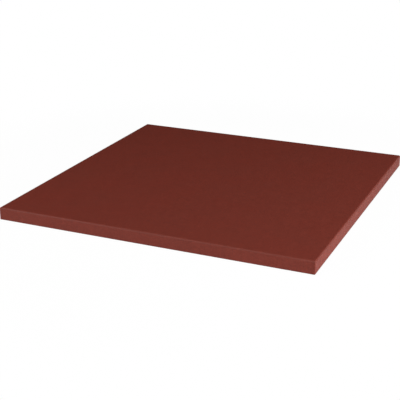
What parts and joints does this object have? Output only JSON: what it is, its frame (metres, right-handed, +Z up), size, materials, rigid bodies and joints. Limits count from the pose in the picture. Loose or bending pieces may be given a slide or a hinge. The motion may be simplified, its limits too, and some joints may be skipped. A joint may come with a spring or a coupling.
{
  "type": "clinker floor tile",
  "caption": "Square unglazed clinker floor tile with rounded wearing edges and a keyed back of shallow recesses, laid in adhesive as hard flooring.",
  "frame": {"origin": "middle of the bed plane, which the rim and ribs of the back lie on", "axes": "+Z up out of the wearing face, +X and +Y along the sides"},
  "size_m": [0.3, 0.3, 0.012],
  "materials": {
    "clinker": "unglazed, matt brown-red fired clay"
  },
  "bodies": {
    "root": {"clinker_tile": "clinker"}
  },
  "joints": []
}
